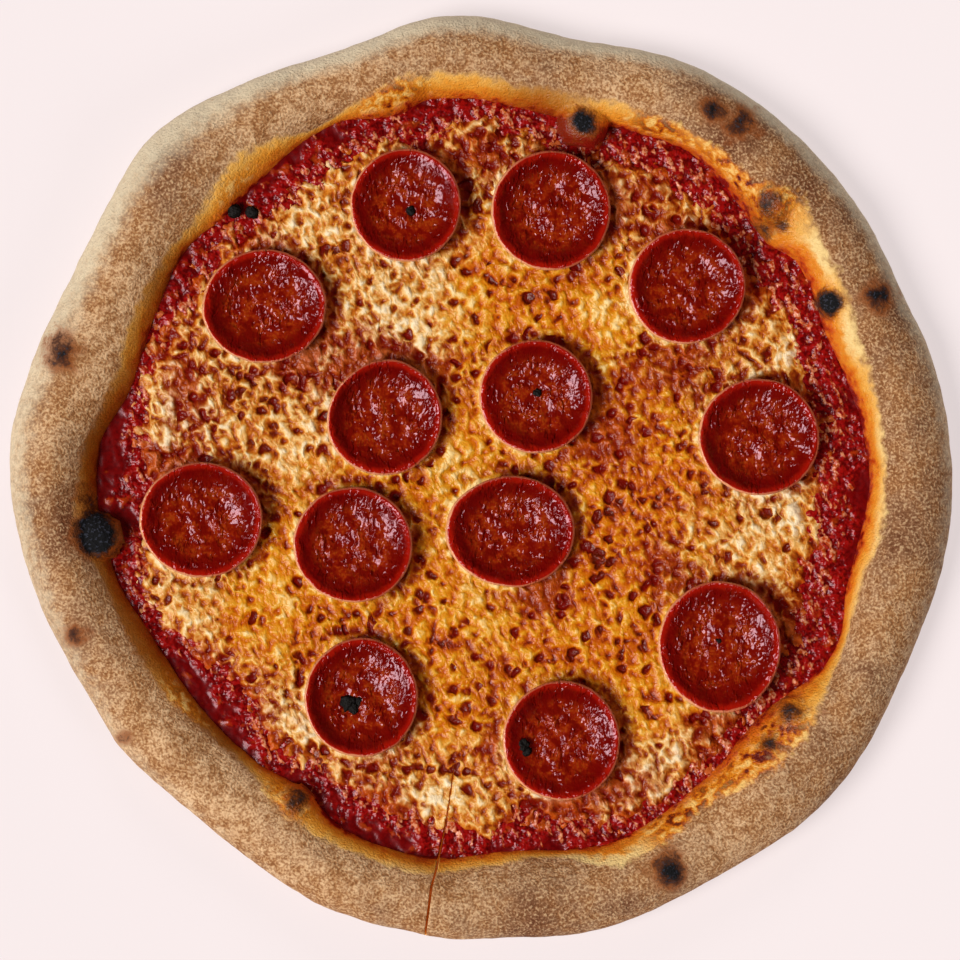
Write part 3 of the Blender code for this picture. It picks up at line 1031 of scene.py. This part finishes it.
def shape_sauce():
    """The turned layer of sauce, finely divided where it shows."""
    dense = rows(1.0, 0.80, 44)
    profile = [(0, SAUCE_BOTTOM), (0.8, SAUCE_BOTTOM), (1, SAUCE_BOTTOM), (1, SAUCE_TOP)]
    profile += [(share, SAUCE_TOP) for share in dense + [0.7, 0.4, 0]]
    body = turned(profile, SAUCE_STEPS, SAUCE_CUTS)
    layers = new_layers(body, "wet", "shred")
    for vert in body.verts:
        share = hypot(vert.co.x, vert.co.y)
        angle = upright_angle(vert.co)
        distance = share * (edge_distance(RIM_FOOT, angle) + SAUCE_UNDER_RIM)
        x, y = spot(angle, distance)
        top = vert.co.z > SAUCE_BOTTOM + MERGE
        vert.co = (x, y, vert.co.z)
        vert[layers["wet"]] = 1.0 if top else 0.0
        beyond = (distance - edge_distance(CHEESE_EDGE, angle)) / SHRED_REACH
        vert[layers["shred"]] = 1 - beyond + SHRED_AND_SHADE_LEAN * cos(radians(angle - SHRED_SIDE))
    return body


def sauce_pulp(graph):
    """The lumps of the sauce, from 0 to 1."""
    return graph.grain(graph.flat_place(), 0.0036, 3.0, 0.6)


def sauce_body(graph):
    """From 0 where the sauce is a smooth, oily pool to 1 where it is full of pulp."""
    patches = graph.grain(graph.flat_place(), 0.010, 2.0)
    # The lean round the pizza keeps smooth, dark pools on the left: painted shade where the rim shadows the
    # sauce.
    return graph.ease(graph.attribute("shred") * 0.35 + patches, 0.50, 0.74)


def cheese_shreds(graph):
    """Where bits of melted cheese lie on the sauce, from 0 to 1."""
    bent = graph.bent(graph.flat_place(), 0.0042, 0.0012)
    strands = graph.grain(graph.drawn_out(bent, STRAND_SIDE, 0.50), 0.0022, 2.0)
    near = graph.ease(graph.attribute("shred"), 0.2, 1.1)
    return graph.ease(strands + near * 0.16, 0.69, 0.78)


def sauce_relief(graph):
    """Pulp and bits of cheese standing up in the sauce."""
    lumps = (sauce_pulp(graph) - 0.45) * (sauce_body(graph) * 0.0020 + 0.0012)
    height = lumps + cheese_shreds(graph) * 0.0006
    return graph.node("ShaderNodeCombineXYZ", values={"Z": height * graph.attribute("wet")})


def sauce_material(settings):
    """Wet tomato sauce with pulp, drops of orange oil and bits of cheese."""
    material, graph, shader = new_material("sauce")
    place = graph.flat_place()
    full = sauce_body(graph)
    fine = graph.grain(place, 0.0012, 2.0)
    pulp = graph.ease(sauce_pulp(graph) * 0.5 + fine * 0.5, 0.40, 0.60)
    colour = graph.blend(pulp * (full * 0.75 + 0.25), settings.deep, settings.bright)
    oil = graph.ease(graph.grain(place, 0.005, 3.0), 0.58, 0.70)
    colour = graph.blend(oil * 0.5, colour, shade(186, 70, 12))
    cheese = graph.blend(graph.ease(fine, 0.42, 0.6), shade(186, 66, 18), shade(226, 150, 108))
    colour = graph.blend(cheese_shreds(graph) * 0.9, colour, cheese)
    feed(
        graph,
        shader,
        Base_Color=colour,
        Roughness=settings.roughness,
        Specular_IOR_Level=0.34,
        Specular_Tint=shade(255, 224, 234),
        Normal=graph.bump(graph.grain(place, 0.0016, 1.0) * full, 0.0007),
    )
    return material


# Cheese


def slice_middles():
    """Where each slice lies and how far it reaches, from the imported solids."""
    found = []
    for number in range(1, SLICE_COUNT + 1):
        low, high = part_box(f"pepperoni_{number:02d}")
        found.append(((low + high) / 2, (high - low) / 2))
    return found


def slice_share(x, y, middle, reach):
    """How far a place lies from a slice's middle, with 1 at its rim."""
    return hypot((x - middle.x) / reach.x, (y - middle.y) / reach.y)


def cover_at(x, y, slices):
    """1 where a slice presses the cheese down, and 0 beyond it."""
    cover = 0.0
    for middle, reach in slices:
        cover = max(cover, 1 - eased(slice_share(x, y, middle, reach), *PRESSED))
    return cover


def beside_slices(x, y, slices, side, lean, limit):
    """How near a place is to a slice: 0 at the limit, 1 at its rim, and less away from its one side."""
    nearest = 0.0
    for middle, reach in slices:
        share = slice_share(x, y, middle, reach)
        if share < limit:
            facing = 1 - lean + lean * cos(atan2(y - middle.y, x - middle.x) - radians(side))
            nearest = max(nearest, facing * (1 - eased(share, 0.96, limit)))
    return nearest


def shape_cheese():
    """A fine sheet over the sauce, cut to the cheese's outline, with a wall and a floor."""
    steps = round(2 * CHEESE_HALF / CHEESE_GRID)
    body = bmesh.new()
    bmesh.ops.create_grid(body, x_segments=steps, y_segments=steps, size=CHEESE_HALF)
    outside = []
    for vert in body.verts:
        reach = edge_distance(CHEESE_EDGE, upright_angle(vert.co)) + CHEESE_REACH
        if hypot(vert.co.x, vert.co.y) > reach:
            outside.append(vert)
    bmesh.ops.delete(body, geom=outside, context="VERTS")
    drop_pinched(body)
    bmesh.ops.translate(body, verts=body.verts, vec=(0, 0, CHEESE_BASE))
    write_cheese_layers(body)
    rim = [edge for edge in body.edges if edge.is_boundary]
    wall = bmesh.ops.extrude_edge_only(body, edges=rim)["geom"]
    low = [part for part in wall if isinstance(part, bmesh.types.BMVert)]
    top = body.verts.layers.float["top"]
    for vert in low:
        vert.co.z = CHEESE_FLOOR
        vert[top] = 0
    bmesh.ops.edgeloop_fill(body, edges=[edge for edge in body.edges if edge.is_boundary])
    bmesh.ops.recalc_face_normals(body, faces=body.faces)
    return body


def is_pinched(vert):
    """Whether a point of the sheet has no face, or the sheet only touches itself there."""
    return not vert.link_faces or sum(edge.is_boundary for edge in vert.link_edges) > 2


def drop_pinched(body):
    """Take away points where the sheet only touches itself at a corner."""
    pinched = [None]
    while pinched:
        pinched = [vert for vert in body.verts if is_pinched(vert)]
        bmesh.ops.delete(body, geom=pinched, context="VERTS")


def write_cheese_layers(body):
    """What the cheese shows at each point: its edge, its tone, its fat, and what the slices do to it."""
    slices = slice_middles()
    layers = new_layers(body, "top", "edge", "tone", "gold", "stained", "cover", "lip")
    for vert in body.verts:
        x, y = vert.co.x, vert.co.y
        inside = edge_distance(CHEESE_EDGE, upright_angle(vert.co)) - hypot(x, y)
        ragged = RAGGED_DEPTH * noise.noise(Vector((x, y, 0)) / RAGGED_SPACING)
        vert[layers["top"]] = 1
        vert[layers["edge"]] = (inside + ragged) / CHEESE_EDGE_WIDTH
        vert[layers["tone"]] = strength_at(CHEESE_TONES, x, y)
        vert[layers["gold"]] = min(strength_at(GOLDEN, x, y), 1)
        # A raised lip beside each slice, paler towards the light as a painted highlight.
        lip = beside_slices(x, y, slices, *LIP_AND_HIGHLIGHT)
        vert[layers["lip"]] = lip
        # The grease beside each slice is partly painted shade on the side away from the light.
        vert[layers["stained"]] = strength_at(STAINED, x, y) + beside_slices(x, y, slices, *GREASE_AND_SHADE) - lip
        vert[layers["cover"]] = cover_at(x, y, slices)


def cheese_level(graph, bubble):
    """From 0 in the browned craters of the cheese to 1 on its ridges."""
    place = graph.flat_place()
    tone = graph.attribute("tone")
    bent = graph.bent(place, 0.0050, 0.0015)
    near, chance = graph.cells(bent, bubble)
    crowd = graph.grain(place, 0.014, 1.0) * 0.9 + 0.07
    crater = graph.ease(near - chance * crowd + tone * 0.08, 0.16, -0.24) * (chance * 0.34 + 0.22)
    large = graph.ease(graph.grain(bent, 0.0060, 1.0), 0.36, 0.26)
    strands = graph.grain(graph.drawn_out(bent, STRAND_SIDE, 0.55), 0.0022, 2.0) - 0.5
    curds = graph.grain(bent, 0.0034, 2.0) - 0.5
    rough = 1.3 - graph.attribute("gold") * 0.35
    level = 0.62 + (strands + curds) * rough - crater - large * 0.30
    return graph.clamp(level)


def clumps(graph):
    """Soft clumps, somewhat wider than the bubbles, from 0 to 1."""
    return graph.grain(graph.flat_place(), 0.0048, 2.0, 0.6)


def cheese_relief(bubble):
    """How far each point of the sheet is lifted: over the sauce, round the pits and down under the slices."""

    def build(graph):
        level = cheese_level(graph, bubble)
        edge = graph.attribute("edge") + (graph.grain(graph.flat_place(), 0.005, 2.0) - 0.62) * 0.9
        cover = graph.attribute("cover")
        rise = graph.ease(edge, -0.15, 0.85)
        broad = graph.grain(graph.flat_place(), 0.012, 1.0) - 0.5
        free = rise * CHEESE_RISE + (level - 0.55) * CHEESE_PIT_DEPTH + broad * 0.0009
        free = free + graph.attribute("lip") * rise * LIP_HEIGHT
        free = graph.maths("MAXIMUM", free, (CHEESE_FLOOR - CHEESE_BASE) / 2)
        pressed = CHEESE_PRESSED - CHEESE_BASE
        height = free * (1 - cover) + cover * pressed
        return graph.node("ShaderNodeCombineXYZ", values={"Z": height * graph.attribute("top")})

    return build


def cheese_material(settings):
    """Melted cheese: pale or golden ridges, browned bubbles, and sauce stain at its edge."""
    material, graph, shader = new_material("cheese")
    place = graph.flat_place()
    level = cheese_level(graph, settings.bubble)
    fine = graph.grain(place, 0.0010, 2.0)
    broad = graph.grain(place, 0.012, 3.0)
    edge = graph.attribute("edge")
    shown = level + graph.attribute("tone") * 0.22 + (broad - 0.5) * 0.7 + (fine - 0.5) * 0.24 - 0.12
    # The lip beside each slice is made paler towards the light: a painted highlight.
    shown = shown - graph.ease(edge, 0.8, 0.0) * 0.14 + graph.attribute("lip") * 0.35
    white = graph.ramp(
        shown,
        (0.04, settings.pit),
        (0.20, shade(126, 42, 4)),
        (0.36, shade(176, 80, 10)),
        (0.52, shade(208, 124, 32)),
        (0.72, shade(236, 184, 108)),
        (0.95, settings.pale),
    )
    gold = graph.ramp(
        shown,
        (0.04, settings.pit),
        (0.18, shade(142, 40, 2)),
        (0.34, shade(190, 82, 2)),
        (0.52, shade(212, 118, 4)),
        (0.72, shade(228, 156, 34)),
        (0.92, settings.golden),
    )
    fat = graph.attribute("gold") + (graph.grain(place, 0.009, 2.0) - 0.5) * 1.2
    colour = graph.blend(graph.ease(fat, 0.2, 0.8), white, gold)
    stained = graph.ease(edge + (broad - 0.5) * 0.9, 0.55, -0.05) + graph.attribute("stained")
    stained = graph.ease(stained + (clumps(graph) - level) * 0.9, 0.05, 0.80)
    sauced = graph.blend(graph.ease(level, 0.30, 1.0), shade(118, 6, 0), shade(196, 74, 4))
    colour = graph.blend(stained * 0.9, colour, sauced)
    feed(
        graph,
        shader,
        Base_Color=colour,
        Roughness=0.22 + fine * 0.2,
        Specular_IOR_Level=0.3,
        Normal=graph.bump(level * 0.75 + fine * 0.25, 0.0012),
    )
    return material


# Pepperoni


def curl_rise(share):
    """The height of a slice's underside over its middle, as a share of SLICE_CURL."""
    return (max(share - FLAT_SHARE, 0) / (1 - FLAT_SHARE)) ** CURL_POWER


def slice_profile(radius):
    """Half the cross-section of a curled slice, with a rounded rim."""
    under = []
    over = []
    steepest = CURL_POWER * SLICE_CURL / (radius * (1 - FLAT_SHARE))
    for share in [0] + rows(0, 0.3, 6) + rows(0.3, 1.0, 30):
        height = SLICE_CURL * curl_rise(share)
        steepness = steepest * curl_rise(share) ** (1 - 1 / CURL_POWER)
        thickness = SLICE_THICKNESS / hypot(1, steepness)
        under.append((share * radius, height))
        over.append((share * radius - thickness * steepness, height + thickness))
    low = Vector(under[-1])
    high = Vector(over[-1])
    middle = (low + high) / 2
    outward = Vector((high.y - low.y, low.x - high.x)) / 2
    rim = []
    for step in range(1, 7):
        turn = pi * step / 7
        rim.append(tuple(middle + (low - middle) * cos(turn) + outward * sin(turn) * 0.7))
    return under + rim + over[::-1]


def shape_slice(number, middle, reach):
    """One curled slice, with an odd side and an uneven rim, fitted to its solid."""
    radius = (reach.x + reach.y) / 2
    body = turned(slice_profile(radius), SLICE_STEPS)
    odd_angle, odd_share = ODD_SIDES[number - 1]
    layers = new_layers(body, "reach", "upper", "lit")
    for vert in body.verts:
        angle = atan2(vert.co.y, vert.co.x)
        distance = hypot(vert.co.x, vert.co.y)
        share = min(distance / radius, 1)
        odd = odd_share * max(cos(angle - radians(odd_angle)), 0) ** 3 * share
        unevenness = sin(angle + CURL_TURN * number) + 0.6 * sin(2 * angle + CURL_TURN_TWICE * number)
        height = vert.co.z * (1 + CURL_UNEVENNESS * unevenness * curl_rise(share))
        upper = vert.co.z > SLICE_CURL * curl_rise(share) + SLICE_THICKNESS * 0.3
        wobble = 1 + odd + 0.012 * noise.noise(Vector((3 * cos(angle), 3 * sin(angle), number)))
        vert[layers["reach"]] = distance / radius
        vert[layers["upper"]] = 1.0 if upper else 0.0
        vert[layers["lit"]] = max(cos(angle - radians(PAINTED_LIGHT_SIDE)), 0)
        vert.co = (vert.co.x * wobble, vert.co.y * wobble, height)
    fit(body, middle - reach, middle + reach)
    return body


def fit(body, low, high):
    """Stretch a body so that it fills the space between two corners."""
    for axis in range(3):
        least = min(vert.co[axis] for vert in body.verts)
        most = max(vert.co[axis] for vert in body.verts)
        for vert in body.verts:
            vert.co[axis] = low[axis] + (vert.co[axis] - least) * (high[axis] - low[axis]) / (most - least)


def wrinkles(graph, size):
    """The wrinkles of cooked meat, from 0 to 1, deep in some places and faint in others."""
    place = graph.flat_place()
    folds = graph.grain(graph.drawn_out(place, WRINKLE_SIDE, 0.55), size, 1.0, 0.8)
    deep = graph.ease(graph.grain(place, size * 3.4, 2.0), 0.42, 0.60)
    return (folds - 0.5) * (deep * 0.85 + 0.15) + 0.5


def slice_relief(size):
    """Wrinkles and soft swellings on the upper side of a slice."""

    def build(graph):
        folds = graph.grain(graph.drawn_out(graph.flat_place(), FOLD_SIDE, 0.6), 0.0065, 1.0)
        soft = (folds - 0.5) * 0.0026
        height = ((wrinkles(graph, size) - 0.5) * 0.0009 + soft) * graph.attribute("upper")
        height = height * graph.ease(graph.attribute("reach"), 1.0, 0.86)
        return graph.node("ShaderNodeCombineXYZ", values={"Z": height})

    return build


def pepperoni_material(settings):
    """Oily cured sausage: lean meat, specks of fat and a dark, soaked wall."""
    material, graph, shader = new_material("pepperoni")
    place = graph.flat_place()
    reach = graph.attribute("reach")
    medium = graph.grain(place, 0.0036, 3.0)
    fine = graph.grain(place, 0.0009, 3.0)
    dimples = graph.grain(place, 0.0010, 0.0)
    colour = graph.blend(graph.ease(medium, 0.56, 0.42) * 0.8, settings.meat, settings.wall)
    specks = graph.ease(fine * 0.45 + medium * 0.55, 0.52, 0.62)
    colour = graph.blend(specks * 0.6, colour, settings.fat)
    colour = graph.blend(graph.ease(reach + (medium - 0.5) * 0.4, 0.60, 0.80) * 0.9, colour, settings.wall)
    lit = graph.attribute("lit")
    # The red rim band is stronger on the side towards the light: painted light over the rim's own colour.
    ring = graph.ease(reach + (medium - 0.5) * 0.1, 0.85, 0.95)
    colour = graph.blend(ring * (lit * 0.3 + 0.65), colour, settings.rim)
    # A thin pale line round the rim: faint fat all round, and a painted highlight on the side towards the
    # light.
    outermost = graph.ease(reach + (medium - 0.5) * 0.04, 0.970, 0.988)
    colour = graph.blend(outermost * (lit * 0.65 + 0.2), colour, shade(246, 178, 128))
    feed(
        graph,
        shader,
        Base_Color=colour,
        Roughness=0.12,
        Specular_IOR_Level=0.42,
        Specular_Tint=shade(255, 218, 234),
        Normal=graph.bump(wrinkles(graph, settings.wrinkle) * 0.9 + dimples * 0.1, 0.0014),
    )
    return material


def burnt_material():
    """Black, brittle scorched bits."""
    material, graph, shader = new_material("burnt")
    fine = graph.grain(graph.place(), 0.0008, 3.0)
    colour = graph.blend(fine, shade(2, 2, 2), shade(20, 12, 8))
    feed(
        graph,
        shader,
        Base_Color=colour,
        Roughness=0.6,
        Specular_IOR_Level=0.2,
        Normal=graph.bump(fine, 0.0006),
    )
    return material


def shape_burnt_bits():
    """Small crumpled crumbs, joined in one mesh."""
    body = bmesh.new()
    for x, y, height, size in BURNT_BITS:
        made = bmesh.ops.create_icosphere(body, subdivisions=3, radius=1)["verts"]
        for vert in made:
            crumple = 1 + CRUMPLE * noise.noise(vert.co * 1.7 + Vector((x, y, size)) * 900)
            vert.co = Vector((x, y, height)) + vert.co * crumple * size
            vert.co.z = height + (vert.co.z - height) * CRUMB_FLATNESS
    return body


# Stage


def shape_floor():
    """The plain, flat floor."""
    body = bmesh.new()
    bmesh.ops.create_grid(body, x_segments=1, y_segments=1, size=FLOOR_HALF)
    return body


def soft_room(settings):
    """A dim room, which the camera itself sees as a plain backdrop."""
    world = bpy.data.worlds.new("soft_room")
    world.use_nodes = True
    graph = Graph(world.node_tree)
    seen = graph.node("ShaderNodeLightPath", output="Is Camera Ray")
    background = world.node_tree.nodes["Background"]
    background.inputs["Color"].default_value = settings.backdrop
    graph.tree.links.new((seen * (1 - settings.room) + settings.room).socket, background.inputs["Strength"])
    return world


def aim_sun(name, azimuth, elevation, spread, strength, colour):
    """A soft light that comes from an azimuth round the pizza and an elevation over it; returns its lamp."""
    light = bpy.data.lights.new(name, "SUN")
    light.energy = strength
    light.angle = radians(spread)
    light.color = colour
    lamp = bpy.data.objects.new(name, light)
    x, y = spot(azimuth, cos(radians(elevation)))
    towards = Vector((x, y, sin(radians(elevation))))
    lamp.rotation_euler = towards.to_track_quat("Z", "Y").to_euler()
    bpy.context.scene.collection.objects.link(lamp)
    return lamp


# Operators


class PIZZA_OT_crust(bpy.types.Operator):
    """Bake the crust: a puffed rim round a thin floor, with blisters, stains and the slit"""

    bl_idname = "pizza.crust"
    bl_label = "Bake the Crust"

    def execute(self, context):
        settings = context.scene.pizza_crust
        inside = crumb_material(settings)
        lay("baked_crust", shape_crust(), crust_material(settings), crust_relief, inside, "crust")
        return {"FINISHED"}


class PIZZA_OT_sauce(bpy.types.Operator):
    """Spread the tomato sauce inside the rim"""

    bl_idname = "pizza.sauce"
    bl_label = "Spread the Sauce"

    def execute(self, context):
        material = sauce_material(context.scene.pizza_sauce)
        lay("tomato_sauce", shape_sauce(), material, sauce_relief, material, "sauce")
        return {"FINISHED"}


class PIZZA_OT_cheese(bpy.types.Operator):
    """Melt the cheese over the sauce"""

    bl_idname = "pizza.cheese"
    bl_label = "Melt the Cheese"

    def execute(self, context):
        settings = context.scene.pizza_cheese
        material = cheese_material(settings)
        relief = cheese_relief(settings.bubble)
        lay("melted_cheese", shape_cheese(), material, relief, material, "cheese")
        return {"FINISHED"}


class PIZZA_OT_pepperoni(bpy.types.Operator):
    """Lay the curled slices of pepperoni, with their scorched bits"""

    bl_idname = "pizza.pepperoni"
    bl_label = "Lay the Pepperoni"

    def execute(self, context):
        settings = context.scene.pizza_pepperoni
        material = pepperoni_material(settings)
        for number, (middle, reach) in enumerate(slice_middles(), start=1):
            body = shape_slice(number, middle, reach)
            piece = new_piece(body, f"pepperoni_slice_{number:02d}", material)
            raise_relief(piece, slice_relief(settings.wrinkle))
            hand_over(piece, "pepperoni", f"pepperoni_{number:02d}")
        bits = new_piece(shape_burnt_bits(), "scorched_bits", burnt_material())
        hand_over(bits, "pepperoni")
        return {"FINISHED"}


class PIZZA_OT_stage(bpy.types.Operator):
    """Set the plain floor, the soft light and the camera that looks straight down"""

    bl_idname = "pizza.stage"
    bl_label = "Set the Stage"

    def execute(self, context):
        settings = context.scene.pizza_stage
        scene = context.scene
        scene.view_settings.view_transform = "Standard"
        material, graph, shader = new_material("backdrop")
        feed(
            graph,
            shader,
            Base_Color=[value * (1 - settings.glow) for value in settings.backdrop[:3]] + [1],
            Roughness=1.0,
            Specular_IOR_Level=0.0,
            Emission_Color=settings.backdrop,
            Emission_Strength=settings.glow,
        )
        floor = new_piece(shape_floor(), "floor", material)
        scene.world = soft_room(settings)
        aim_sun("key_light", *KEY_LIGHT, settings.key, (1.0, 0.98, 0.95))
        for aim in FILL_LIGHTS:
            lamp = aim_sun(f"fill_light_{aim[0]}", *aim, settings.fill, (0.96, 0.97, 1.0))
            lamp.visible_glossy = False
        camera = bpy.data.cameras.new("camera")
        camera.lens = camera.sensor_width * settings.distance / settings.frame_width
        eye = bpy.data.objects.new("camera", camera)
        eye.location = (*EYE_PLACE, settings.distance)
        scene.collection.objects.link(eye)
        scene.camera = eye
        return {"FINISHED"}


class PIZZA_PT_panel(bpy.types.Panel):
    """The settings of each piece and the steps that make it"""

    bl_label = "Pepperoni Pizza"
    bl_idname = "PIZZA_PT_panel"
    bl_space_type = "VIEW_3D"
    bl_region_type = "UI"
    bl_category = "Pizza"

    def draw(self, context):
        for name, settings_type, operator in STEPS:
            box = self.layout.box()
            settings = getattr(context.scene, name)
            for setting in settings_type.__annotations__:
                box.prop(settings, setting)
            box.operator(operator.bl_idname)


STEPS = (
    ("pizza_crust", CrustSettings, PIZZA_OT_crust),
    ("pizza_sauce", SauceSettings, PIZZA_OT_sauce),
    ("pizza_cheese", CheeseSettings, PIZZA_OT_cheese),
    ("pizza_pepperoni", PepperoniSettings, PIZZA_OT_pepperoni),
    ("pizza_stage", StageSettings, PIZZA_OT_stage),
)


def register():
    """Make the settings, the operators and the panel known to Blender."""
    for name, settings_type, operator in STEPS:
        bpy.utils.register_class(settings_type)
        bpy.utils.register_class(operator)
        setattr(bpy.types.Scene, name, PointerProperty(type=settings_type))
    bpy.utils.register_class(PIZZA_PT_panel)


def unregister():
    """Take them all away again."""
    bpy.utils.unregister_class(PIZZA_PT_panel)
    for name, settings_type, operator in reversed(STEPS):
        delattr(bpy.types.Scene, name)
        bpy.utils.unregister_class(operator)
        bpy.utils.unregister_class(settings_type)


def main():
    """Build the pizza and its stage."""
    register()
    bpy.ops.pizza.crust()
    bpy.ops.pizza.sauce()
    bpy.ops.pizza.cheese()
    bpy.ops.pizza.pepperoni()
    bpy.ops.pizza.stage()


if __name__ == "__main__":
    main()
